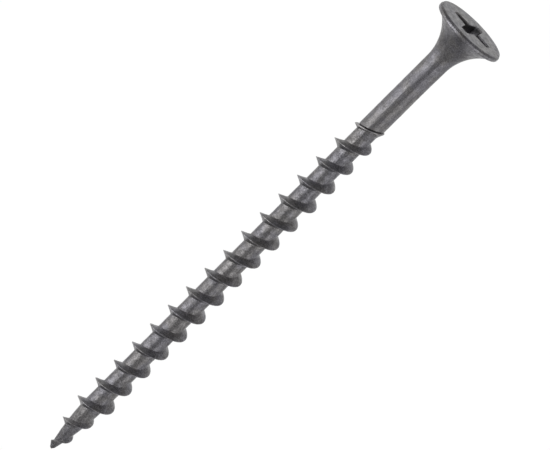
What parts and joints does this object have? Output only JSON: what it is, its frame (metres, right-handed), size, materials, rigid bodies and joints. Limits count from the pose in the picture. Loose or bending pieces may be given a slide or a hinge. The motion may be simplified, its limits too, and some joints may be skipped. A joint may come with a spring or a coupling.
{
  "type": "wood screw",
  "caption": "Bugle-head wood screw with a cross recess, a part-length shank, a coarse right-hand thread and a gimlet point.",
  "frame": {"origin": "centre of the head's flat face", "axes": "+Z along the screw's axis out of the head, so the point is at z = -63.5 mm; the wings of the cross recess lie along X and Y"},
  "size_m": [0.008, 0.008, 0.0635],
  "materials": {
    "phosphated_steel": "grey-black phosphate conversion coating on carbon steel, satin, fine crystalline grain"
  },
  "bodies": {
    "root": {"bugle_head": "phosphated_steel", "shank": "phosphated_steel", "thread_core": "phosphated_steel", "gimlet_point": "phosphated_steel", "thread": "phosphated_steel"}
  },
  "joints": []
}
